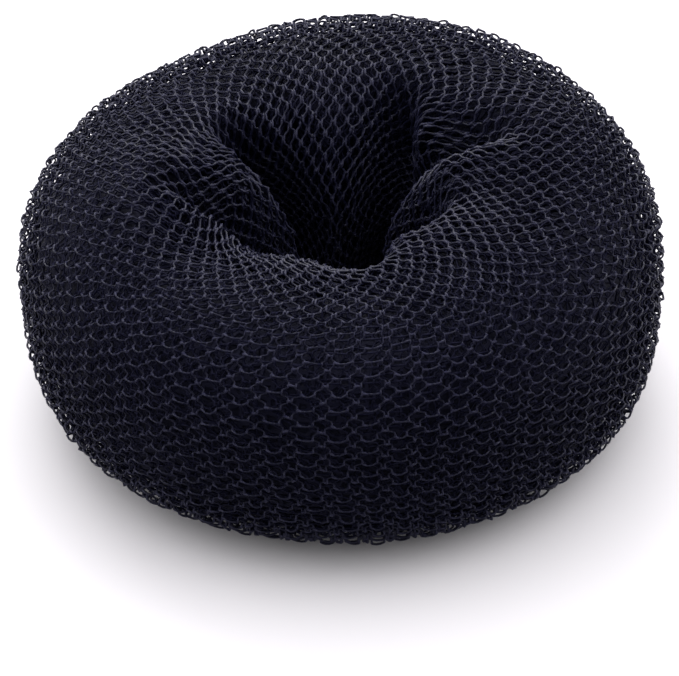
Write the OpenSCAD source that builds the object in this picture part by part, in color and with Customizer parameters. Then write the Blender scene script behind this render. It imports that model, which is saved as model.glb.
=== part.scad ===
// Hair donut: a tube of stiff knitted net, rolled over itself into a thick soft ring.
// It lies on a flat surface with its hole upwards. The origin is on that surface under the
// middle of the ring's outline, +Z is up and -Y is the front. Azimuths turn from +X towards +Y.

/* [Ring] */
// Width of the whole ring
ring_d = 90; // [84:1:98]
// Height of the ring as it lies, before its swells
ring_h = 38; // [35:0.5:40]
// Width of the roll, from the hole to the rim
roll_w = 38.4; // [36:0.2:39]
// Squareness of the roll's outer half, where 2 is an ellipse
rim_square = 3; // [2:0.1:3.2]
// Squareness of the roll's inner half
hole_square = 1.9; // [1.7:0.1:2.2]
// How far the soft roll settles where it rests
settle = 1.4; // [1:0.1:2]

/* [Net] */
// Thickness of the outermost turn of net
net_wall = 1.4; // [1.2:0.1:1.6]
// Clearance between the outermost turn and the turns inside it
turn_gap = 0.4; // [0.3:0.05:0.5]
// Width of the slit in the hole where the edges of the outermost turn are tucked in
tuck_w = 3; // [2:0.5:4]

/* [Folds] */
// Depth of the folds in the hole, as a share of the depths in their table
fold_share = 1; // [0.4:0.1:1.1]
// How far the folds reach underneath, as a share of their reach on top
under_share = 0.7; // [0.5:0.1:0.9]
// Number of gathers round the hole
gather_count = 18; // [12:1:20]
// Depth of a gather
gather_depth = 0.5; // [0:0.1:0.7]

/* [Hidden] */

// Half sizes of the roll's section, the circle that its middle runs on and that circle's height
roll_a = roll_w / 2;
roll_b = (ring_h + settle) / 2;
ring_r = (ring_d - roll_w) / 2;
mid_z = roll_b - settle;

// Steps round the ring
AROUND = 84;
// Steps round the section, across the rim: of the net's outside, and of what is inside it
OUTSIDE_RIM_STEPS = 14;
INSIDE_RIM_STEPS = 6;
// Steps from the rim's to where the folds have their full depth, and from there into the hole
FOLD_STEPS = 5;
HOLE_STEPS = 2;
// Angles of the section, to each side of the rim, between these three kinds of steps
RIM_ANGLE = 84;
FOLD_ANGLE = 145;
// How much the steps across the rim crowd at its two corners
CORNER_CROWD = 0.06;

// Folds that run down into the hole, a row for each. Its columns are the azimuth and the distance
// from the axis where it starts, its azimuth in the hole, its depth, and its half-widths towards
// smaller and larger azimuths.
START_AZ = 0;
START_R = 1;
HOLE_AZ = 2;
DEPTH = 3;
WIDTH_BEFORE = 4;
WIDTH_AFTER = 5;
FOLDS = [
    [13, 29, 46, 6.5, 5, 6],
    [67, 23, 50, 10, 3.5, 3.5],
    [149, 22, 136, 9.5, 3.5, 4],
    [188, 27, 217, 10, 3, 3.5],
    [278, 21, 284, 4.5, 4.5, 4.5],
    [326, 17, 336, 5.5, 5, 6],
];
// Roundness of a crease, as a share of the fold's half-width
CREASE_ROUND = 0.15;
// How much further a fold starts out on an inner surface, and how much wider its shoulders are
// there, as shares of that surface's inset
FOLD_SPREAD = 1.8;
FOLD_WIDEN = 1.5;
// How soon a fold reaches its full depth, as the inverse of the share of its way that it takes
FOLD_ONSET = 2.5;

// Swells of the soft roll, a row for each. Its columns are the azimuth of its middle, the angle
// that it reaches to each side, and how far it pushes the rim out, lifts the top and fills the hole.
SWELL_AZ = 0;
SWELL_ANGLE = 1;
PUSH_OUT = 2;
LIFT = 3;
FILL_IN = 4;
SWELLS = [
    [18, 36, -0.1, 0.2, 4],
    [60, 42, 0.9, 0.7, 0],
    [98, 34, 0, 0, 2],
    [126, 36, -0.7, -0.7, 0],
    [163, 34, -0.4, -0.4, 1.2],
    [188, 36, -0.2, 1.6, 0],
    [220, 30, 0.6, 0.4, -4.6],
    [248, 48, -0.3, 0, -2.4],
    [280, 50, -1, -0.6, 0],
    [314, 34, -0.5, 0, 1.0],
    [342, 36, 0.4, -0.4, 0],
];

// Angle to each side of the hole's middle height over which the gathers fade
GATHER_REACH = 70;

// A smooth step from 0 to 1
function ease(x) = let (t = min(1, max(0, x))) t * t * (3 - 2 * t);

// The angle from a to b, from -180 to 180
function turn(a, b) = (b - a + 900) % 360 - 180;

function total(values) = [for (v = values) 1] * values;

// Distance from the middle of the section to its edge. The angle phi is 0 at the rim, 90 at the
// top, 180 in the hole and -90 underneath.
function section_r(phi) =
    let (square = hole_square + (rim_square - hole_square) * (1 + cos(phi)) / 2)
    pow(pow(abs(cos(phi)) / roll_a, square) + pow(abs(sin(phi)) / roll_b, square), -1 / square);

// Depth of one fold: two round shoulders that meet in a crease. An inner surface's fold starts
// earlier and is wider, so that the wall keeps its thickness on the shoulders.
function fold_depth(fold, az, phi, rho, inset) =
    let (spread = FOLD_SPREAD * inset,
         top_reach = 180 - acos((fold[START_R] - ring_r) / roll_a),
         reach = phi > 0 ? top_reach : under_share * top_reach,
         along = max(0, 180 - abs(phi) - spread / roll_a * 180 / PI) / reach,
         crease_az = fold[HOLE_AZ] + (fold[START_AZ] - fold[HOLE_AZ]) * min(1, along),
         side = turn(crease_az, az),
         half_w = fold[side < 0 ? WIDTH_BEFORE : WIDTH_AFTER] + FOLD_WIDEN * inset,
         aside = max(0, abs(side) * PI / 180 * rho - spread) / half_w,
         shoulder = norm([aside, CREASE_ROUND]) - CREASE_ROUND)
    fold_share * fold[DEPTH] * ease(FOLD_ONSET * (1 - along)) * pow(max(0, 1 - shoulder), 2);

// Depth of the gathers, which are narrow and shallow
function gather(az, phi) =
    gather_depth * (1 - cos(gather_count * az)) / 2 * ease(1 - (180 - abs(phi)) / GATHER_REACH);

// Share of a swell that is felt at an azimuth
function swell_share(swell, az) =
    pow(cos(90 * min(1, abs(turn(swell[SWELL_AZ], az)) / swell[SWELL_ANGLE])), 2);

// One column of the swells, summed at an azimuth
function swelling(az, column) = total([for (s = SWELLS) s[column] * swell_share(s, az)]);

// A point of the roll's surface, or of the same surface set in by an inset
function roll_point(az, phi, inset) =
    let (plain_r = section_r(phi),
         rho = ring_r + plain_r * cos(phi),
         swell = swelling(az, PUSH_OUT) * (1 + cos(phi)) / 2
             + swelling(az, LIFT) * (1 + sin(phi)) / 2
             + swelling(az, FILL_IN) * (1 - cos(phi)) / 2,
         fold = max([for (f = FOLDS) fold_depth(f, az, phi, rho, inset)]),
         r = plain_r + swell - fold - gather(az, phi) - inset)
    [(ring_r + r * cos(phi)) * cos(az),
     (ring_r + r * cos(phi)) * sin(az),
     max(mid_z + r * sin(phi), inset)];

// Angles round the section: the sheet leaves a slit in the hole, and the core closes
tuck_angle = 180 - tuck_w / 2 / roll_a * 180 / PI;
function span(from, to, steps) = [for (k = [0 : steps - 1]) from + k * (to - from) / steps];
function rim_angles(steps) =
    [for (t = span(-1, 1, steps)) RIM_ANGLE * (t + CORNER_CROWD * sin(360 * t))];
function sheet_angles(rim_steps) = concat(
    span(-tuck_angle, -FOLD_ANGLE, HOLE_STEPS),
    span(-FOLD_ANGLE, -RIM_ANGLE, FOLD_STEPS),
    rim_angles(rim_steps),
    span(RIM_ANGLE, FOLD_ANGLE, FOLD_STEPS),
    span(FOLD_ANGLE, tuck_angle, HOLE_STEPS),
    [tuck_angle]);
outside_angles = sheet_angles(OUTSIDE_RIM_STEPS);
inside_angles = sheet_angles(INSIDE_RIM_STEPS);
azimuths = [for (i = [0 : AROUND - 1]) i * 360 / AROUND];

// Outline of the sheet at an azimuth, out along its outside and back along its inside
function sheet_outline(az) = concat(
    [for (phi = outside_angles) roll_point(az, phi, 0)],
    [for (k = [len(inside_angles) - 1 : -1 : 0]) roll_point(az, inside_angles[k], net_wall)]);

// Outline of the core at an azimuth
function core_outline(az) = [for (phi = inside_angles) roll_point(az, phi, net_wall + turn_gap)];

// The middle of the ring's outline seen from above
rim_points = [for (az = azimuths) roll_point(az, 0, 0)];
function middle(values) = (min(values) + max(values)) / 2;
outline_middle = [middle([for (p = rim_points) p.x]), middle([for (p = rim_points) p.y]), 0];

// How far a point is from the circle that the middle of the roll runs on
function from_middle(p) = norm([norm([p.x, p.y]) - ring_r, p.z - mid_z]);

// The two triangles between the corners of a cell, parted along its deeper diagonal, so that
// the bottom of a crease that crosses the cells stays a line
function cell_faces(points, a, b, c, d) =
    from_middle((points[a] + points[c]) / 2) < from_middle((points[b] + points[d]) / 2)
        ? [[a, b, c], [a, c, d]]
        : [[a, b, d], [b, c, d]];

// A closed solid through outlines of one length, each joined to the next and the last to the first
module ring_sweep(outlines) {
    n = len(outlines);
    m = len(outlines[0]);
    points = [for (outline = outlines) for (p = outline) p];
    translate(-outline_middle)
        polyhedron(
            points = points,
            faces = [for (i = [0 : n - 1]) for (k = [0 : m - 1])
                let (j = (i + 1) % n, l = (k + 1) % m)
                for (face = cell_faces(points, i * m + k, i * m + l, j * m + l, j * m + k))
                    face]);
}

// What the ring rests on, just below its flat underside
module rest_slab()
    translate([-ring_d, -ring_d, -settle])
        cube([2 * ring_d, 2 * ring_d, settle]);

// The outermost turn of net, a C in section whose two edges are tucked into the hole. Its
// underside is one flat face where the slab meets it.
module outer_net()
    color([0.10, 0.10, 0.13])
        difference() {
            ring_sweep([for (az = azimuths) sheet_outline(az)]);
            rest_slab();
        }

// The turns packed inside it
module rolled_core()
    color([0.04, 0.04, 0.05])
        ring_sweep([for (az = azimuths) core_outline(az)]);

outer_net();
rolled_core();
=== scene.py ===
"""Hair donut: a stiff knitted net tube rolled over itself into a soft ring, on a pale floor."""

import logging
import math
from dataclasses import dataclass, field
from enum import Enum
from functools import cached_property

import bpy
import numpy as np
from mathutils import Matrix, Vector


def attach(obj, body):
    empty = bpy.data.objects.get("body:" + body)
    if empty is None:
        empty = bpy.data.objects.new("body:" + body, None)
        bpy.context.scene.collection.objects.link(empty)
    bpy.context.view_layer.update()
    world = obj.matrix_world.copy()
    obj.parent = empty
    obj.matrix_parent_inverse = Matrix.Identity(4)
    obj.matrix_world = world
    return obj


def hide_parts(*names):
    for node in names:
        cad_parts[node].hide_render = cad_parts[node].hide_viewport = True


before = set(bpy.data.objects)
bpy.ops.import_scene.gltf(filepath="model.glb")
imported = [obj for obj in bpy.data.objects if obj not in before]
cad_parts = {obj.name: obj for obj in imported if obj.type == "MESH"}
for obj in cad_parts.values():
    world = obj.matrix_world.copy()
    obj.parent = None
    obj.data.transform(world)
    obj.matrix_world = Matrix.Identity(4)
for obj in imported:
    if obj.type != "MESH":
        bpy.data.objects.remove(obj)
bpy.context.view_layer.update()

Array = np.ndarray
Socket = bpy.types.NodeSocket
MM = 0.001
BODY = "root"
# Azimuth of the front, in degrees
FRONT = -90
# The export keeps a map of this name, so that a piece's colours are baked by its place on the ring
PLACE_MAP = "OFBake"
# The map that runs along and round each yarn
YARN_MAP = "yarn"

log = logging.getLogger("hair_donut")


def ease(x: Array) -> Array:
    """A smooth step: t squared times (3 - 2t), where t is x held between 0 and 1."""
    t = np.clip(x, 0, 1)
    return t * t * (3 - 2 * t)


def turn(start: Array | float, end: Array | float) -> Array:
    """The angle from start to end in degrees, wrapped to lie from -180 to 180."""
    return (end - start + 540) % 360 - 180


@dataclass(frozen=True)
class Fold:
    """A fold that runs from the top of the ring down into its hole, as in the solids."""

    start_azimuth: float
    start_radius: float
    hole_azimuth: float
    depth: float
    width_before: float
    width_after: float


@dataclass(frozen=True)
class Swell:
    """A soft swelling of the roll round one azimuth, as in the solids."""

    azimuth: float
    angle: float
    push_out: float
    lift: float
    fill_in: float

    def share(self, azimuth: Array) -> Array:
        """Share of the swell felt at an azimuth: a squared cosine, from 1 at its middle to 0."""
        away = np.abs(turn(self.azimuth, azimuth)) / self.angle
        return np.cos(np.radians(90 * np.minimum(1, away))) ** 2


@dataclass(frozen=True)
class Roll:
    """The rolled ring's surface, in millimetres and degrees, as a function of two angles.

    The azimuth turns round the hole from +X towards +Y. The section angle is 0 at the rim, 90 on
    top, 180 in the hole and -90 underneath.
    """

    ring_d: float = 90
    ring_h: float = 38
    roll_w: float = 38.4
    rim_square: float = 3
    hole_square: float = 1.9
    settle: float = 1.4
    under_share: float = 0.7
    fold_onset: float = 2.5
    crease_round: float = 0.15
    fold_spread: float = 1.8
    fold_widen: float = 1.5
    gather_count: int = 18
    gather_depth: float = 0.5
    gather_reach: float = 70
    rim_steps: int = 84
    walk_steps: int = 360
    normal_step: float = 0.25
    folds: tuple[Fold, ...] = (
        Fold(13, 29, 46, 6.5, 5, 6),
        Fold(67, 23, 50, 10, 3.5, 3.5),
        Fold(149, 22, 136, 9.5, 3.5, 4),
        Fold(188, 27, 217, 10, 3, 3.5),
        Fold(278, 21, 284, 4.5, 4.5, 4.5),
        Fold(326, 17, 336, 5.5, 5, 6),
    )
    swells: tuple[Swell, ...] = (
        Swell(18, 36, -0.1, 0.2, 4),
        Swell(60, 42, 0.9, 0.7, 0),
        Swell(98, 34, 0, 0, 2),
        Swell(126, 36, -0.7, -0.7, 0),
        Swell(163, 34, -0.4, -0.4, 1.2),
        Swell(188, 36, -0.2, 1.6, 0),
        Swell(220, 30, 0.6, 0.4, -4.6),
        Swell(248, 48, -0.3, 0, -2.4),
        Swell(280, 50, -1, -0.6, 0),
        Swell(314, 34, -0.5, 0, 1),
        Swell(342, 36, 0.4, -0.4, 0),
    )

    @property
    def half_w(self) -> float:
        """Half the width of the roll's section."""
        return self.roll_w / 2

    @property
    def half_h(self) -> float:
        """Half the height of the roll's section before it settles."""
        return (self.ring_h + self.settle) / 2

    @property
    def ring_r(self) -> float:
        """Radius of the circle that the roll's middle runs on."""
        return (self.ring_d - self.roll_w) / 2

    @property
    def mid_z(self) -> float:
        """Height of that circle above the floor."""
        return self.half_h - self.settle

    def section_r(self, phi: Array) -> Array:
        """Distance from the section's middle to its edge: a superellipse, squarer at the rim.

        Args:
            phi: Section angles in degrees.

        Returns:
            The distances in millimetres.
        """
        cos, sin = np.cos(np.radians(phi)), np.sin(np.radians(phi))
        square = self.hole_square + (self.rim_square - self.hole_square) * (1 + cos) / 2
        across, up = np.abs(cos) / self.half_w, np.abs(sin) / self.half_h
        return (across**square + up**square) ** (-1 / square)

    def fold_depth(self, fold: Fold, azimuth: Array, phi: Array, rho: Array, inset: Array) -> Array:
        """Depth of one fold: two round shoulders, each a squared ramp, that meet in a crease.

        The crease runs from its place on top to its place in the hole, and deepens with an eased
        step on the way. On surfaces that are set in it starts earlier and is wider.

        Args:
            fold: The fold.
            azimuth: Azimuths in degrees.
            phi: Section angles in degrees.
            rho: Distances from the ring's axis.
            inset: Depths below the outermost surface.

        Returns:
            The depths in millimetres.
        """
        spread = self.fold_spread * inset
        top_reach = 180 - math.degrees(math.acos((fold.start_radius - self.ring_r) / self.half_w))
        reach = np.where(phi > 0, top_reach, self.under_share * top_reach)
        from_hole = np.maximum(0, 180 - np.abs(phi) - np.degrees(spread / self.half_w))
        along = from_hole / reach
        crease = fold.hole_azimuth + (fold.start_azimuth - fold.hole_azimuth) * np.minimum(1, along)
        side = turn(crease, azimuth)
        half_w = np.where(side < 0, fold.width_before, fold.width_after) + self.fold_widen * inset
        aside = np.maximum(0, np.radians(np.abs(side)) * rho - spread) / half_w
        shoulder = np.hypot(aside, self.crease_round) - self.crease_round
        full = ease(self.fold_onset * (1 - along))
        return fold.depth * full * np.maximum(0, 1 - shoulder) ** 2

    def uncentred(self, azimuth: Array, phi: Array, inset: Array) -> Array:
        """Points of the surface, or of the same surface set in, before the ring is centred.

        The section's distance takes the swells on and the folds and gathers off, is laid out from
        the middle circle at the section angle, and is turned to the azimuth. What would lie below
        the floor is flattened onto it.

        Args:
            azimuth: Azimuths in degrees.
            phi: Section angles in degrees.
            inset: Depths below the outermost surface in millimetres.

        Returns:
            Points in millimetres, with a last axis of three.
        """
        cos, sin = np.cos(np.radians(phi)), np.sin(np.radians(phi))
        plain_r = self.section_r(phi)
        rho = self.ring_r + plain_r * cos
        push_out, lift, fill_in = (
            sum(getattr(swell, name) * swell.share(azimuth) for swell in self.swells)
            for name in ("push_out", "lift", "fill_in")
        )
        swelling = push_out * (1 + cos) / 2 + lift * (1 + sin) / 2 + fill_in * (1 - cos) / 2
        deepest = np.zeros_like(rho)
        for fold in self.folds:
            depth = self.fold_depth(fold, azimuth, phi, rho, inset)
            deepest = np.maximum(deepest, depth)
        waves = (1 - np.cos(np.radians(self.gather_count * azimuth))) / 2
        gather = self.gather_depth * waves * ease(1 - (180 - np.abs(phi)) / self.gather_reach)
        r = plain_r + swelling - deepest - gather - inset
        flat = self.ring_r + r * cos
        turned = np.radians(azimuth)
        height = np.maximum(self.mid_z + r * sin, inset)
        return np.stack([flat * np.cos(turned), flat * np.sin(turned), height], -1)

    def middle(self) -> Array:
        """The middle of the rim's outline seen from above, which the solids have at the origin.

        Returns:
            The point in millimetres, on the floor.
        """
        azimuth = np.arange(self.rim_steps) * 360 / self.rim_steps
        rim = self.uncentred(azimuth, np.zeros_like(azimuth), np.zeros_like(azimuth))
        centre = (rim.min(0) + rim.max(0)) / 2
        return np.array([centre[0], centre[1], 0])

    def points(self, azimuth: Array, phi: Array, inset: Array | float) -> Array:
        """Points of the surface, set in by an inset in millimetres, where the solids have them."""
        azimuth, phi, inset = np.broadcast_arrays(azimuth, phi, inset)
        return self.uncentred(azimuth, phi, inset.astype(float)) - self.middle()

    def normals(self, azimuth: Array, phi: Array, inset: Array | float) -> Array:
        """Unit outward normals: the cross product of small steps along the azimuth and the section.

        Args:
            azimuth: Azimuths in degrees.
            phi: Section angles in degrees.
            inset: Depths below the outermost surface in millimetres.

        Returns:
            The normals, with a last axis of three.
        """
        step = self.normal_step
        along = self.points(azimuth + step, phi, inset) - self.points(azimuth - step, phi, inset)
        across = self.points(azimuth, phi + step, inset) - self.points(azimuth, phi - step, inset)
        normal = np.cross(along, across)
        return normal / np.linalg.norm(normal, axis=-1, keepdims=True)

    def angle_at(self, share: Array, row: Array | float = 1.0) -> Array:
        """Section angles at shares of the way round the section, counted in rows.

        The plain section is walked in small steps, and each step's length is divided by the length
        of a row there. The quotients are summed, and the angle is read off at each share of the
        total.

        Args:
            share: Shares of the way round, from 0 in the hole, under the ring, up to 1 in the hole.
            row: Length of a row on each step of the walk, or on all of them.

        Returns:
            Section angles in degrees, from -180 to 180.
        """
        phi = np.linspace(-180, 180, self.walk_steps + 1)
        r = self.section_r(phi)
        across, up = r * np.cos(np.radians(phi)), r * np.sin(np.radians(phi))
        rows = np.concatenate([[0], np.cumsum(np.hypot(np.diff(across), np.diff(up)) / row)])
        return np.interp(share, rows / rows[-1], phi)


class NetFit:
    """How a net fits the roll at one depth: evenly over lobes and down the folds between them.

    The net's columns run round the section. Where the loop round the ring is long they are pulled
    apart, and the rows draw together.
    """

    # Distances between columns, and between rows, in millimetres
    SLACK_PITCH = 1.35
    TAUT_PITCH = 1.65
    SLACK_ROW = 1.5
    TAUT_ROW = 1.1
    # Keeps the table's rows apart while all are read in one go, in degrees
    FAR_APART = 2000

    def __init__(self, roll: Roll, inset: float, columns: int, around: int = 1440) -> None:
        """Tabulates how far the net's columns are drawn towards the folds.

        At each section angle the loop round the ring is walked in small steps, and its length is
        summed. A column's even angle is its share of that length as degrees, turned back by the
        mean difference from the azimuth. The table holds azimuth less even angle, read off at even
        steps of the even angle.

        Args:
            roll: The roll.
            inset: Depth of the net below the outermost surface in millimetres.
            columns: Number of the net's columns.
            around: Steps round the ring.
        """
        self.roll = roll
        sections = roll.walk_steps + 1
        azimuth = np.arange(around) * 360 / around
        self.angles = np.linspace(-180, 180, sections)
        loop = roll.points(azimuth, self.angles[:, None], inset)
        way = np.cumsum(np.linalg.norm(np.roll(loop, -1, 1) - loop, axis=-1), 1)
        self.pitches = way[:, -1] / columns
        even = 360 * np.roll(way, 1, 1) / way[:, -1:]
        even[:, 0] = 0
        even = even - (even - azimuth).mean(1, keepdims=True)
        turns = np.arange(-1, 2)[:, None] * 360
        far_apart = self.FAR_APART * np.arange(sections)[:, None, None]
        walked = (even[:, None] + turns + far_apart).ravel()
        shift = np.broadcast_to((azimuth - even)[:, None], (sections, 3, around)).ravel()
        self.shift = np.interp(azimuth + far_apart[:, 0], walked, shift)

    def azimuth(self, even: Array, phi: Array) -> Array:
        """Azimuths of even angles, blended from the four nearest entries of the table.

        Args:
            even: Even angles in degrees.
            phi: Section angles in degrees.

        Returns:
            The azimuths in degrees.
        """
        sections, around = self.shift.shape
        row = (phi + 180) / 360 * (sections - 1)
        column = even % 360 / 360 * around
        low, left = np.minimum(row.astype(int), sections - 2), column.astype(int) % around
        up, on = row - low, column - np.floor(column)
        right = (left + 1) % around
        below = self.shift[low, left] * (1 - on) + self.shift[low, right] * on
        above = self.shift[low + 1, left] * (1 - on) + self.shift[low + 1, right] * on
        return even + below * (1 - up) + above * up

    def pitch(self, phi: Array) -> Array:
        """Distances between columns at section angles, in millimetres."""
        return np.interp(phi, self.angles, self.pitches)

    def stretch(self, phi: Array) -> Array:
        """Stretch of the net at section angles: 0 where its chains touch and 1 round the rim."""
        over_slack = self.pitch(phi) - self.SLACK_PITCH
        return np.clip(over_slack / (self.TAUT_PITCH - self.SLACK_PITCH), 0, 1)

    def angle_at(self, share: Array) -> Array:
        """Section angles at shares of the net's rows, which draw together as it is stretched.

        Args:
            share: Shares of the way round the section, counted in rows.

        Returns:
            Section angles in degrees.
        """
        stretch = self.stretch((self.angles[1:] + self.angles[:-1]) / 2)
        row = self.SLACK_ROW + (self.TAUT_ROW - self.SLACK_ROW) * stretch
        return self.roll.angle_at(share, row)


@dataclass
class MeshParts:
    """Corners, faces and maps of a mesh while it is gathered from arrays."""

    corners: list[Array] = field(default_factory=list)
    loops: list[Array] = field(default_factory=list)
    sides: list[Array] = field(default_factory=list)
    place: list[Array] = field(default_factory=list)
    yarn: list[Array] = field(default_factory=list)
    count: int = 0

    def add_corners(self, corners: Array) -> int:
        """Adds corners.

        Args:
            corners: Points in millimetres, with a last axis of three.

        Returns:
            The number of the first of them.
        """
        first = self.count
        self.corners.append(corners.reshape(-1, 3))
        self.count += len(self.corners[-1])
        return first

    def add_faces(self, faces: Array, place: Array, yarn: Array) -> None:
        """Adds faces of one kind.

        Args:
            faces: Corner numbers, one row for each face.
            place: Place map values, one pair for each corner of each face.
            yarn: Yarn map values, in the same order.
        """
        self.loops.append(faces.ravel())
        self.sides.append(np.full(len(faces), faces.shape[1]))
        self.place.append(place.reshape(-1, 2))
        self.yarn.append(yarn.reshape(-1, 2))

    def build(self, name: str) -> bpy.types.Object:
        """Makes the mesh object, smooth shaded, with its place at the origin.

        Args:
            name: The object's name.

        Returns:
            The new object, linked to the scene.
        """
        points = np.concatenate(self.corners) * MM
        loops, sides = np.concatenate(self.loops), np.concatenate(self.sides)
        mesh = bpy.data.meshes.new(name)
        mesh.vertices.add(len(points))
        mesh.vertices.foreach_set("co", points.astype(np.float32).ravel())
        mesh.loops.add(len(loops))
        mesh.loops.foreach_set("vertex_index", loops.astype(np.int32))
        mesh.polygons.add(len(sides))
        starts = np.concatenate([[0], np.cumsum(sides)[:-1]])
        mesh.polygons.foreach_set("loop_start", starts.astype(np.int32))
        mesh.update(calc_edges=True)
        for map_name, values in ((PLACE_MAP, self.place), (YARN_MAP, self.yarn)):
            layer = mesh.uv_layers.new(name=map_name)
            layer.uv.foreach_set("vector", np.concatenate(values).astype(np.float32).ravel())
        mesh.validate()
        mesh.shade_smooth()
        piece = bpy.data.objects.new(name, mesh)
        bpy.context.scene.collection.objects.link(piece)
        return piece


@dataclass(frozen=True)
class YarnPaths:
    """Paths of many yarns of one kind: arrays of paths by points along them.

    Each point has its centre in millimetres, the roll's normal and the yarn's radius there, and its
    place, which is the share of the way round the hole and round the section. Closed paths have
    their first place once more at the end, a turn further on.
    """

    centre: Array
    normal: Array
    radius: Array
    place: Array
    closed: bool

    def only(self, chosen: Array) -> "YarnPaths":
        """The paths for which chosen is True."""
        arrays = (self.centre, self.normal, self.radius, self.place)
        return YarnPaths(*(values[chosen] for values in arrays), self.closed)


@dataclass(frozen=True)
class Tube:
    """The form of a yarn: a flattened round of a few sides, which twists on its way."""

    sides: int = 4
    flatness: float = 0.16
    # From one ring to the next: how far the form turns, in radians, and the yarn map runs on
    twist: float = 1.1
    turns_per_step: float = 0.25
    # Half the yarn's width on the place map
    place_width: float = 0.0006

    @property
    def around(self) -> Array:
        """Angles of the sides round the yarn, in radians."""
        return np.arange(self.sides) * 2 * math.pi / self.sides

    def rings(self, paths: YarnPaths) -> Array:
        """A ring of corners across each path point.

        A ring stands on the path's direction and the surface normal made square to it. Its radius
        swells and shrinks twice round, and that pattern turns on from ring to ring.

        Args:
            paths: The paths to follow.

        Returns:
            Points in millimetres, as paths by rings by sides.
        """
        centre = paths.centre
        if paths.closed:
            direction = np.roll(centre, -1, 1) - np.roll(centre, 1, 1)
        else:
            direction = np.gradient(centre, axis=1)
        direction /= np.linalg.norm(direction, axis=-1, keepdims=True)
        across = np.cross(direction, paths.normal)
        across /= np.linalg.norm(across, axis=-1, keepdims=True)
        up = np.cross(across, direction)
        cos, sin = np.cos(self.around)[:, None], np.sin(self.around)[:, None]
        twist = self.twist * np.arange(centre.shape[1])[:, None]
        size = 1 + self.flatness * np.cos(2 * (self.around - twist))
        size = paths.radius[..., None] * size
        ring = cos * across[:, :, None, :] + sin * up[:, :, None, :]
        return centre[:, :, None, :] + size[..., None] * ring

    def sweep(self, paths: YarnPaths, parts: MeshParts) -> None:
        """Joins neighbouring rings of every path by quads, and closes open ends with a face.

        Args:
            paths: The paths to follow.
            parts: The mesh that takes the yarns.
        """
        first = parts.add_corners(self.rings(paths))
        many, along = paths.centre.shape[:2]
        steps = along if paths.closed else along - 1
        path, step, edge = np.meshgrid(
            np.arange(many), np.arange(steps), np.arange(self.sides), indexing="ij"
        )
        on, beside = (step + 1) % along, (edge + 1) % self.sides
        near_ring = first + (path * along + step) * self.sides
        far_ring = first + (path * along + on) * self.sides
        quads = np.stack(
            [near_ring + edge, near_ring + beside, far_ring + beside, far_ring + edge], -1
        ).reshape(-1, 4)
        off = self.place_width * np.stack([np.cos(self.around), np.sin(self.around)], -1)
        beside_off = np.roll(off, -1, 0)
        near, far = paths.place[:, :steps, None], paths.place[:, 1 : steps + 1, None]
        place = np.stack([near + off, near + beside_off, far + beside_off, far + off], 3)
        u = np.stack([edge, edge + 1, edge + 1, edge], -1) / self.sides
        v = np.stack([step, step, step + 1, step + 1], -1) * self.turns_per_step
        parts.add_faces(quads, place, np.stack([u, v], -1))
        if not paths.closed:
            for end, order in ((0, -1), (along - 1, 1)):
                end_ring = first + (np.arange(many)[:, None] * along + end) * self.sides
                spot = paths.place[:, end, None] + off[::order]
                cap = end_ring + np.arange(self.sides)[::order]
                parts.add_faces(cap, spot, np.zeros_like(spot))


@dataclass(frozen=True)
class Knots:
    """The grid of a net's knots, as arrays of chains by half rows.

    Each knot has its column number x, its half-row number y, its height above the layer in
    millimetres, and whether it leans towards the next column.
    """

    x: Array
    y: Array
    height: Array
    leans_on: Array


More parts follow.
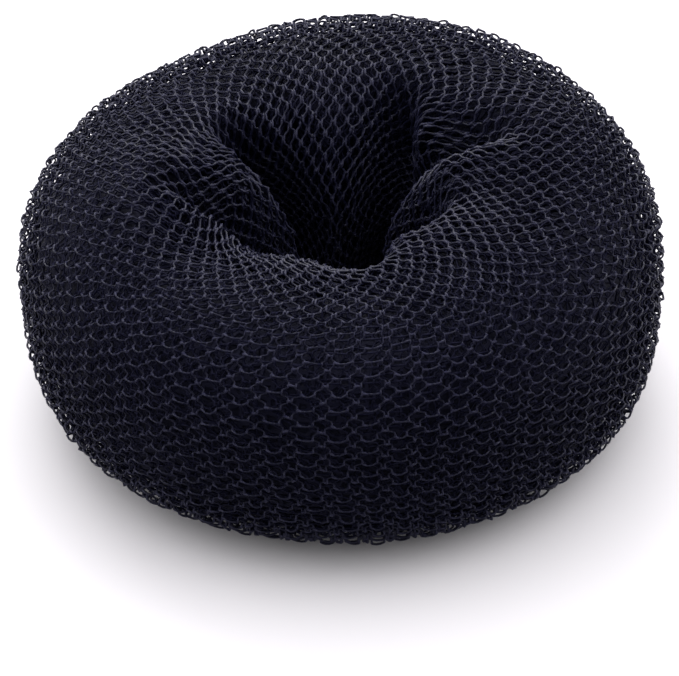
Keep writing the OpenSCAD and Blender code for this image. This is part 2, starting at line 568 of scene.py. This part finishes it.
@dataclass(frozen=True)
class Net:
    """A layer of hexagonal net wrapped round the roll.

    Chains of yarn run round the section. At every half row a chain leans towards the next one or
    the one before, in turn, and a link joins the two. In the slack net of the hole the links are
    closed, so that chains meet in upright knots round six-sided cells. Round the rim the links open
    into bars. There those of every other column are wider, most of all at the front.
    """

    # Slow waves that shift the net: how many go round the hole, and their sizes as shares of wander
    SLOW_WAVES = 2
    FAST_WAVES = 5
    FAST_SIDEWAYS = 0.6
    SLOW_LENGTHWAYS = 0.7
    FAST_LENGTHWAYS = 0.3
    # How far one layer's slow wave lies from another's, in radians for each step of the seed
    SEED_TURN = 1.3

    roll: Roll
    inset: float
    yarn_r: float
    columns: int = 136
    rows: int = 48
    # Half length of a closed link, and what a wide and a narrow one open by, in millimetres
    closed_half_link: float = 0.17
    wide_opening: float = 0.8
    narrow_opening: float = 0.12
    # How soon the two come to be alike away from the front
    evenness: float = 1.1
    # How far knots stand out, in millimetres
    slack_relief: float = 0.15
    taut_relief: float = 0.55
    # Share of its thickness that stretched yarn loses
    thinning: float = 0.2
    # A link's sag and its chance bend, in half rows, and the rise of its arch as a share of relief
    droop: float = 0.2
    bow: float = 0.2
    arch_rise: float = 0.3
    # Thickness in a knot and between knots, as shares of the yarn's
    knot_swell: float = 1.2
    yarn_swell: float = 0.95
    # Where a chain has points between two knots, and how steeply it crosses over there
    crossing: tuple[float, ...] = (0.34, 0.5, 0.66)
    lean: float = 2.2
    # Chance moves of a knot, in columns and half rows, and outwards in millimetres
    knot_jitter: float = 0.06
    height_jitter: float = 0.16
    # Reach of the slow waves in columns and half rows, and a shift of the whole layer in half rows
    wander: float = 0.5
    row_phase: float = 0
    wide_link_steps: int = 3
    tube: Tube = Tube()
    floor_gap: float = 0.02
    seed: int = 7

    @cached_property
    def fit(self) -> NetFit:
        """How this layer fits the roll."""
        return NetFit(self.roll, self.inset, self.columns)

    def share(self, half_row: Array) -> Array:
        """Shares of the way round the section at half rows."""
        return (half_row + self.row_phase) / (2 * self.rows)

    def relief(self, half_row: Array) -> Array:
        """How far knots stand out from the middles between them in millimetres, at half rows."""
        phi = self.fit.angle_at(self.share(half_row) % 1)
        return self.slack_relief + (self.taut_relief - self.slack_relief) * self.fit.stretch(phi)

    def half_links(self, chain: Array, column: Array, half_row: Array) -> Array:
        """Half lengths of the links, in columns.

        Both kinds start closed, and open with the net's stretch. Away from the front the two kinds
        come to be alike, each tending to their mean.

        Args:
            chain: The chains' numbers.
            column: The numbers of the columns that the links lie in.
            half_row: The half rows' numbers.

        Returns:
            The half lengths.
        """
        phi = self.fit.angle_at(self.share(half_row))
        from_front = np.radians(360 * chain / self.columns - FRONT)
        alike = np.minimum(1, self.evenness * (1 - np.cos(from_front)) / 2)
        mean = (self.wide_opening + self.narrow_opening) / 2
        own = np.where(column % 2 == 0, self.wide_opening, self.narrow_opening)
        opening = own + (mean - own) * alike
        return (self.closed_half_link + opening * self.fit.stretch(phi)) / self.fit.pitch(phi)

    def knots(self) -> Knots:
        """The grid of knots.

        Chain c lies between columns c and c + 1. At every other half row its knot leans towards
        the next column, to within the link's half length of that column's middle, and between
        those towards the column before. Chance moves each knot a little along, across and out.

        Returns:
            The knots.
        """
        chance = np.random.default_rng(self.seed)
        shape = (self.columns, 2 * self.rows)
        chain, half_row = np.meshgrid(*map(np.arange, shape), indexing="ij")
        leans_on = (chain + half_row) % 2 == 0
        column = np.where(leans_on, chain + 1, chain)
        half_link = self.half_links(chain, column, half_row)
        x = column + np.where(leans_on, -half_link, half_link)
        x = x + chance.normal(0, self.knot_jitter, shape)
        y = half_row + chance.normal(0, self.knot_jitter, shape)
        height = chance.normal(0, self.height_jitter, shape)
        return Knots(x, y, height, leans_on)

    def waves(self, even: Array, share: Array) -> tuple[Array, Array]:
        """Shifts of the net, as in one rolled by hand: a slow sine wave and a smaller fast one.

        Args:
            even: Even angles in degrees.
            share: Shares of the way round the section.

        Returns:
            The shifts in columns and in half rows, for a wander of one.
        """
        slow, fast = np.radians(self.SLOW_WAVES * even), np.radians(self.FAST_WAVES * even)
        section = 2 * np.pi * share
        sideways = np.sin(slow + 2 * section + self.seed)
        sideways = sideways + self.FAST_SIDEWAYS * np.sin(fast - section)
        lengthways = self.SLOW_LENGTHWAYS * np.sin(slow + self.SEED_TURN * self.seed)
        lengthways = lengthways + self.FAST_LENGTHWAYS * np.sin(fast + 2 * section)
        return sideways, lengthways

    def lay(self, x: Array, y: Array, height: Array, swell: Array, closed: bool) -> YarnPaths:
        """Lays paths given in columns and half rows onto the roll.

        Columns and rows lie as they fit the roll, apart from waves that shift both.

        Args:
            x: Column numbers.
            y: Half-row numbers.
            height: Heights above the layer in millimetres.
            swell: Thickness as a share of the yarn's.
            closed: Whether each path closes on itself.

        Returns:
            The paths.
        """
        share = self.share(y)
        even = 360 * x / self.columns
        sideways, lengthways = self.waves(even, share)
        even = even + 360 / self.columns * self.wander * sideways
        phi = self.fit.angle_at((share + self.wander * lengthways / (2 * self.rows)) % 1)
        azimuth = self.fit.azimuth(even, phi)
        normal = self.roll.normals(azimuth, phi, self.inset)
        centre = self.roll.points(azimuth, phi, self.inset) + height[..., None] * normal
        radius = self.yarn_r * swell * (1 - self.thinning * self.fit.stretch(phi))
        thickest = radius * (1 + self.tube.flatness)
        lowest = thickest + self.floor_gap + max(0, self.inset - self.yarn_r)
        centre[..., 2] = np.maximum(centre[..., 2], lowest)
        place = np.stack([x / self.columns, share], -1)
        if closed:
            place = np.concatenate([place, place[:, :1] + (0, 1)], 1)
        return YarnPaths(centre, normal, radius, place, closed)

    def chains(self, knots: Knots) -> YarnPaths:
        """The chains: upright at each knot, with an eased step across and a sag in between.

        Args:
            knots: The grid of knots.

        Returns:
            One closed path for each chain.
        """
        part = np.array([0, *self.crossing])
        across = ease(0.5 + self.lean * (part - 0.5))
        starts = (knots.x, knots.y, knots.height)
        ends = [np.roll(values, -1, 1) for values in starts]
        ends[1][:, -1] += 2 * self.rows
        x, y, height = (
            start[..., None] + (end - start)[..., None] * way
            for start, end, way in zip(starts, ends, (across, part, part))
        )
        sag = np.sin(np.pi * part)
        height = height + self.relief(y) * (0.5 - sag)
        swell = self.knot_swell + (self.yarn_swell - self.knot_swell) * sag
        swell = np.broadcast_to(swell, x.shape)
        flat = (self.columns, -1)
        return self.lay(*(v.reshape(flat) for v in (x, y, height, swell)), closed=True)

    def links(self, knots: Knots, wide: bool) -> YarnPaths:
        """The links of every other column: yarns between the knots of neighbouring chains.

        A wide link arches outwards and droops along the section by half a sine wave, more or less
        by chance. A narrow one is straight.

        Args:
            knots: The grid of knots.
            wide: Whether to lay the wide links or the narrow ones.

        Returns:
            One open path for each link.
        """
        chain = np.arange(self.columns)[:, None]
        chosen = knots.leans_on & (chain % 2 == int(wide))
        starts = (knots.x, knots.y, knots.height)
        ends = [np.roll(values, -1, 0) for values in starts]
        ends[0][-1] += self.columns
        part = np.linspace(0, 1, (self.wide_link_steps if wide else 1) + 1)
        x, y, height = (
            start[chosen][:, None] + (end - start)[chosen][:, None] * part
            for start, end in zip(starts, ends)
        )
        arch = np.sin(np.pi * part)
        height = height + self.relief(y) * (0.5 + (self.arch_rise * arch if wide else 0))
        bow = np.random.default_rng(self.seed).uniform(-self.bow, self.bow, (len(y), 1))
        y = y + (bow - self.droop) * arch
        swell = self.knot_swell + (self.yarn_swell - self.knot_swell) * arch
        return self.lay(x, y, height, np.broadcast_to(swell, x.shape), closed=False)


class Sector(Enum):
    """The quarters of the ring that a net layer is made in, by the side that they face."""

    RIGHT = 0
    BACK = 1
    LEFT = 2
    FRONT = 3

    def holds(self, place: Array) -> Array:
        """Which paths start in this quarter, told by their first places."""
        quarter = place[:, 0, 0] * len(Sector) + 0.5
        return np.floor(quarter % len(Sector)).astype(int) == self.value


class Shade(Enum):
    """Colours as linear red, green and blue: the net's navy blacks, and the pale floor's."""

    NAVY = (0.0024, 0.0027, 0.0095)
    # Paler navy: real wear on the outer yarn; painted glint and highlight on the deeper turns
    WORN = (0.006, 0.0062, 0.016)
    # Painted glint at the outer net's knots, and the deeper nets' pale patches
    KNOT = (0.0115, 0.0117, 0.0255)
    # Painted light and shade: base of the deeper nets' own copy of the yarn, toned for their depth
    SHELTERED = (0.0028, 0.003, 0.0098)
    # Painted shade: the dark hollows of the packed net's cells
    PACKED = (0.0022, 0.0024, 0.0078)
    FLOOR = (0.48, 0.471, 0.487)

    @property
    def rgba(self) -> tuple[float, float, float, float]:
        """The colour with full alpha."""
        return (*self.value, 1.0)


class NodeMaker:
    """Adds shader nodes to one material and joins them."""

    # Sockets of a Mix node that mixes colours, by number, because their names repeat on it
    MIX_SHARE = 0
    MIX_FIRST = 6
    MIX_SECOND = 7
    MIX_RESULT = 2

    def __init__(self, name: str) -> None:
        """Makes an empty node material.

        Args:
            name: The material's name.
        """
        self.material = bpy.data.materials.new(name)
        self.material.use_nodes = True
        self.tree = self.material.node_tree
        self.tree.nodes.clear()
        self.output = self.tree.nodes.new("ShaderNodeOutputMaterial")

    def add(
        self, kind: str, inputs: dict[str | int, object] | None = None, **settings: object
    ) -> bpy.types.Node:
        """Adds a node.

        Args:
            kind: The node's type.
            inputs: Values or output sockets, by the name or number of the input that they go to.
            settings: The node's own properties.

        Returns:
            The new node.
        """
        node = self.tree.nodes.new(kind)
        for name, value in settings.items():
            setattr(node, name, value)
        for name, value in (inputs or {}).items():
            if isinstance(value, Socket):
                self.tree.links.new(value, node.inputs[name])
            else:
                node.inputs[name].default_value = value
        return node

    def compute(self, operation: str, first: Socket, second: Socket | float) -> Socket:
        """Adds a math node with this operation on two values and returns its result."""
        return self.add("ShaderNodeMath", {0: first, 1: second}, operation=operation).outputs[0]

    def noise(self, vector: Socket, scale: float, detail: float) -> Socket:
        """Adds a noise pattern over a vector and returns its value."""
        inputs = {"Vector": vector, "Scale": scale, "Detail": detail}
        return self.add("ShaderNodeTexNoise", inputs).outputs["Fac"]

    def spread(
        self, value: Socket, low: float, high: float, to_low: float, to_high: float
    ) -> Socket:
        """Stretches a value from one range to another, held within it.

        Args:
            value: The value.
            low: Start of its range.
            high: End of its range.
            to_low: Start of the new range.
            to_high: End of the new range.

        Returns:
            The stretched value.
        """
        inputs = {"Value": value, "From Min": low, "From Max": high}
        inputs |= {"To Min": to_low, "To Max": to_high}
        return self.add("ShaderNodeMapRange", inputs).outputs["Result"]

    def mix(self, share: Socket, low: Shade, high: Shade) -> Socket:
        """Mixes two shades.

        Args:
            share: Share of the second.
            low: The first shade.
            high: The second shade.

        Returns:
            The mixed colour.
        """
        ramp = self.add("ShaderNodeValToRGB", {"Fac": share})
        ramp.color_ramp.elements[0].color = low.rgba
        ramp.color_ramp.elements[1].color = high.rgba
        return ramp.outputs["Color"]

    def blend(self, share: Socket, colour: Socket, shade: Shade) -> Socket:
        """Mixes a share of a shade into a colour and returns the mixed colour."""
        inputs = {self.MIX_SHARE: share, self.MIX_FIRST: colour, self.MIX_SECOND: shade.rgba}
        return self.add("ShaderNodeMix", inputs, data_type="RGBA").outputs[self.MIX_RESULT]

    def bump(self, height: Socket, strength: float, depth: float) -> Socket:
        """Adds a bump that raises a pattern by a depth in metres and returns its normals."""
        inputs = {"Height": height, "Strength": strength, "Distance": depth}
        return self.add("ShaderNodeBump", inputs).outputs["Normal"]

    def finish(self, inputs: dict[str | int, object]) -> bpy.types.Material:
        """Adds the surface's shader and joins it to the output.

        Args:
            inputs: Values or output sockets, by the name of the shader's input.

        Returns:
            The material.
        """
        shader = self.add("ShaderNodeBsdfPrincipled", inputs)
        self.tree.links.new(shader.outputs["BSDF"], self.output.inputs["Surface"])
        return self.material


@dataclass(frozen=True)
class NylonYarn:
    """Black nylon yarn with a navy cast: half glossy, fibrous, worn paler in patches."""

    name: str = "nylon_yarn"
    shade: Shade = Shade.NAVY
    worn: Shade = Shade.WORN
    # Painted glint: the paler colour mixed in at the knots, where the yarn would catch light
    knot: Shade = Shade.KNOT
    knot_reach: tuple[float, float] = (0.1, 0.28)
    patch_scale: float = 90
    patch_detail: float = 3
    fleck_scale: float = 900
    fleck_detail: float = 2
    fleck_range: tuple[float, float] = (0.3, 0.7)
    worn_range: tuple[float, float] = (0.14, 0.42)
    ply_scale: float = 3
    ply_distortion: float = 1.5
    ply_detail: float = 1
    ply_strength: float = 0.5
    ply_depth: float = 0.00004
    roughness: tuple[float, float] = (0.28, 0.42)
    shine: float = 0.09

    def make(self) -> bpy.types.Material:
        """Mixes two shades by patches and flecks, and raises slanting plies along the yarn map.

        Yarn is palest in its knots, where the yarn map's second value is whole: a painted glint.

        Returns:
            The material.
        """
        maker = NodeMaker(self.name)
        where = maker.add("ShaderNodeTexCoord").outputs["Object"]
        patches = maker.noise(where, self.patch_scale, self.patch_detail)
        flecks = maker.noise(where, self.fleck_scale, self.fleck_detail)
        worn = maker.spread(maker.compute("MULTIPLY", patches, flecks), *self.worn_range, 0, 1)
        along = maker.add("ShaderNodeUVMap", uv_map=YARN_MAP).outputs["UV"]
        way = maker.add("ShaderNodeSeparateXYZ", {"Vector": along}).outputs["Y"]
        # Painted glint: the knots are made paler, standing in for the light that they catch
        from_knot = maker.compute("PINGPONG", way, 0.5)
        knotted = maker.spread(from_knot, *self.knot_reach, 1, 0)
        colour = maker.blend(knotted, maker.mix(worn, self.shade, self.worn), self.knot)
        slant = {"Vector": along, "Scale": self.ply_scale}
        slant |= {"Distortion": self.ply_distortion, "Detail": self.ply_detail}
        plies = maker.add("ShaderNodeTexWave", slant, bands_direction="DIAGONAL").outputs["Fac"]
        return maker.finish(
            {
                "Base Color": colour,
                "Roughness": maker.spread(flecks, *self.fleck_range, *self.roughness),
                "Normal": maker.bump(plies, self.ply_strength, self.ply_depth),
                "Specular IOR Level": self.shine,
            }
        )


@dataclass(frozen=True)
class PackedNet:
    """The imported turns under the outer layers: near black, with paler yarn round deep cells."""

    name: str = "packed_net"
    columns: int = Net.columns
    rows: int = Net.rows
    unevenness: float = 0.55
    yarn_reach: tuple[float, float] = (0.12, 0.264)
    relief: float = 0.8
    depth: float = 0.0006
    roughness: float = 0.62
    shine: float = 0.06

    def make(self) -> bpy.types.Material:
        """Draws cells on the place map, yarn raised round hollows, and paints shade into them.

        Returns:
            The material.
        """
        maker = NodeMaker(self.name)
        where = maker.add("ShaderNodeUVMap", uv_map=PLACE_MAP).outputs["UV"]
        scale = Vector((self.columns, self.rows, 1))
        spot = maker.add("ShaderNodeMapping", {"Vector": where, "Scale": scale}).outputs["Vector"]
        cells = maker.add(
            "ShaderNodeTexVoronoi",
            {"Vector": spot, "Scale": 1, "Randomness": self.unevenness},
            feature="DISTANCE_TO_EDGE",
            voronoi_dimensions="2D",
        ).outputs["Distance"]
        # Painted highlight on the yarn and painted shade in the hollows, for deeper turns of net
        yarn = maker.spread(cells, *self.yarn_reach, 1, 0)
        return maker.finish(
            {
                "Base Color": maker.mix(yarn, Shade.PACKED, Shade.WORN),
                "Roughness": self.roughness,
                "Specular IOR Level": self.shine,
                "Normal": maker.bump(yarn, self.relief, self.depth),
            }
        )


@dataclass(frozen=True)
class PaleFloor:
    """The plain pale floor."""

    name: str = "pale_floor"
    roughness: float = 0.9
    shine: float = 0.1

    def make(self) -> bpy.types.Material:
        """Makes a matte surface of one pale shade."""
        inputs = {"Base Color": Shade.FLOOR.rgba, "Roughness": self.roughness}
        return NodeMaker(self.name).finish(inputs | {"Specular IOR Level": self.shine})


@dataclass
class NetTurns:
    """The see-through turns of net on the outside of the roll: the outermost and two below it."""

    roll: Roll
    outer_inset: float = 0.4
    under_inset: float = 1.35
    third_inset: float = 2.0
    yarn_r: float = 0.185

    def layers(self) -> dict[str, Net]:
        """The layers of net, of which the deeper ones are shifted, and plainer in form.

        Returns:
            The layers, by name.
        """
        outer = Net(self.roll, self.outer_inset, self.yarn_r)
        plainer = {"wander": 1.4, "taut_relief": 0.3, "wide_link_steps": 1}
        under = Net(
            self.roll,
            self.under_inset,
            self.yarn_r,
            row_phase=0.9,
            crossing=(0.35, 0.65),
            tube=Tube(sides=3, turns_per_step=1 / 3),
            seed=19,
            **plainer,
        )
        third = Net(
            self.roll,
            self.third_inset,
            self.yarn_r,
            row_phase=0.4,
            crossing=(),
            tube=Tube(sides=3, turns_per_step=1),
            seed=31,
            **plainer,
        )
        return {"outer_net": outer, "under_net": under, "third_net": third}

    def build(
        self, worn: bpy.types.Material, sheltered: bpy.types.Material
    ) -> list[bpy.types.Object]:
        """Builds each layer in quarters and dresses them.

        Args:
            worn: The outermost layer's material.
            sheltered: The material of the layers below it.

        Returns:
            The pieces.
        """
        pieces = []
        for layer_name, net in self.layers().items():
            # Deeper layers: a copy of the yarn with painted light and shade for their depth
            finish = worn if layer_name == "outer_net" else sheltered
            knots = net.knots()
            kinds = (net.chains(knots), net.links(knots, wide=True), net.links(knots, wide=False))
            for sector in Sector:
                parts = MeshParts()
                for paths in kinds:
                    net.tube.sweep(paths.only(sector.holds(paths.place)), parts)
                piece = parts.build(f"{layer_name}_{sector.name.lower()}")
                piece.data.materials.append(finish)
                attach(piece, BODY)
                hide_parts("outer_net")
                pieces.append(piece)
        return pieces


@dataclass
class PackedTurns:
    """The turns of net packed inside the roll, whose outermost shows as a dark cushion."""

    roll: Roll
    inset: float = 2.6
    around: int = 160
    across: int = 80

    def build(self, finish: bpy.types.Material) -> bpy.types.Object:
        """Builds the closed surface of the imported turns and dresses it.

        The surface is the roll's, set in, on a grid of azimuths by even steps round the section.

        Args:
            finish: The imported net's material.

        Returns:
            The piece.
        """
        i, k = np.meshgrid(np.arange(self.around), np.arange(self.across), indexing="ij")
        azimuth = 360 * i / self.around
        phi = self.roll.angle_at(k / self.across)
        column, next_column = i * self.across, (i + 1) % self.around * self.across
        next_k = (k + 1) % self.across
        faces = np.stack(
            [column + k, next_column + k, next_column + next_k, column + next_k], -1
        ).reshape(-1, 4)
        u = np.stack([i, i + 1, i + 1, i], -1) / self.around
        v = np.stack([k, k, k + 1, k + 1], -1) / self.across
        place = np.stack([u, v], -1)
        parts = MeshParts()
        first = parts.add_corners(self.roll.points(azimuth, phi, self.inset))
        parts.add_faces(first + faces, place, place)
        piece = parts.build("packed_turns")
        piece.data.materials.append(finish)
        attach(piece, BODY)
        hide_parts("rolled_core")
        return piece


@dataclass
class Studio:
    """The pale floor, the soft lights and the camera of the photograph.

    The photograph was taken from straight in front, looking down. The camera looks at the middle of
    the roll's circle, and its shift puts that point where the photograph has it.
    """

    roll: Roll
    elevation: float = 38.8
    distance: float = 450
    pixels_per_mm: float = 7.05
    target_px: tuple[float, float] = (342.65, 273.05)
    frame_px: tuple[int, int] = (679, 676)
    sensor_mm: float = 36
    clip_m: tuple[float, float] = (0.02, 20)
    floor_size: float = 6000
    sky_colour: tuple[float, float, float] = (1.0, 0.99, 1.0)
    # The tent is dim up to the first value of its direction's Y, and bright from the second
    sky_from: float = -0.75
    sky_to: float = 0.12
    sky_dim: float = 0.45
    sky_bright: float = 4.05
    key_azimuth: float = 105
    key_elevation: float = 38
    key_distance: float = 1100
    key_size: float = 900
    key_power: float = 8

    def floor(self) -> None:
        """Lays the floor, a square of one face."""
        half = self.floor_size / 2
        corners = np.array([[-half, -half, 0], [half, -half, 0], [half, half, 0], [-half, half, 0]])
        mesh = bpy.data.meshes.new("floor")
        mesh.from_pydata((corners * MM).tolist(), [], [(0, 1, 2, 3)])
        floor = bpy.data.objects.new("floor", mesh)
        floor.data.materials.append(PaleFloor().make())
        bpy.context.scene.collection.objects.link(floor)

    def tent(self) -> None:
        """Lights the scene as a white light tent that is open at the front.

        Its strength rises evenly, between two limits, as its direction turns to the back.
        """
        world = bpy.data.worlds.new("studio")
        world.use_nodes = True
        tree = world.node_tree
        background = tree.nodes["Background"]
        background.inputs["Color"].default_value = (*self.sky_colour, 1)
        where = tree.nodes.new("ShaderNodeTexCoord")
        parts = tree.nodes.new("ShaderNodeSeparateXYZ")
        rise = tree.nodes.new("ShaderNodeMapRange")
        rise.inputs["From Min"].default_value = self.sky_from
        rise.inputs["From Max"].default_value = self.sky_to
        rise.inputs["To Min"].default_value = self.sky_dim
        rise.inputs["To Max"].default_value = self.sky_bright
        tree.links.new(where.outputs["Generated"], parts.inputs["Vector"])
        tree.links.new(parts.outputs["Y"], rise.inputs["Value"])
        tree.links.new(rise.outputs["Result"], background.inputs["Strength"])
        bpy.context.scene.world = world

    def key(self) -> None:
        """Adds a soft round light behind the ring, which faces the ring."""
        light = bpy.data.lights.new("key", "AREA")
        light.shape = "DISK"
        light.size = self.key_size * MM
        light.energy = self.key_power
        key = bpy.data.objects.new("key", light)
        turned, up = math.radians(self.key_azimuth), math.radians(self.key_elevation)
        towards = Vector(
            (math.cos(turned) * math.cos(up), math.sin(turned) * math.cos(up), math.sin(up))
        )
        key.location = towards * self.key_distance * MM
        key.rotation_euler = towards.to_track_quat("Z", "Y").to_euler()
        bpy.context.scene.collection.objects.link(key)

    def camera(self) -> None:
        """Sets up the camera: the lens from the picture's scale, the shift from its framing."""
        up = math.radians(self.elevation)
        wide, high = self.frame_px
        middle = self.roll.middle()
        data = bpy.data.cameras.new("camera")
        data.sensor_fit = "HORIZONTAL"
        data.sensor_width = self.sensor_mm
        data.lens = self.pixels_per_mm * self.distance * self.sensor_mm / wide
        data.shift_x = (wide / 2 - self.target_px[0]) / wide
        data.shift_y = (self.target_px[1] - high / 2) / wide
        data.clip_start, data.clip_end = self.clip_m
        camera = bpy.data.objects.new("camera", data)
        back, above = self.distance * math.cos(up), self.distance * math.sin(up)
        place = Vector((-middle[0], -back - middle[1], above + self.roll.mid_z))
        camera.location = place * MM
        camera.rotation_euler = (math.radians(90 - self.elevation), 0, 0)
        bpy.context.scene.collection.objects.link(camera)
        bpy.context.scene.camera = camera

    def build(self) -> None:
        """Builds the whole studio."""
        self.floor()
        self.tent()
        self.key()
        self.camera()
        bpy.context.scene.view_settings.view_transform = "Standard"


def main() -> None:
    """Builds the ring and its studio, and reports each piece."""
    logging.basicConfig(level=logging.INFO, format="%(name)s: %(message)s")
    roll = Roll()
    # A copy of the yarn for the deeper layers, with painted light and shade for their depth
    sheltered = NylonYarn(
        "sheltered_yarn", Shade.SHELTERED, worn=Shade.KNOT, knot=Shade.WORN, shine=0.03
    )
    pieces = NetTurns(roll).build(NylonYarn().make(), sheltered.make())
    pieces.append(PackedTurns(roll).build(PackedNet().make()))
    for piece in pieces:
        log.info("%s: %d faces", piece.name, len(piece.data.polygons))
    Studio(roll).build()


if __name__ == "__main__":
    main()
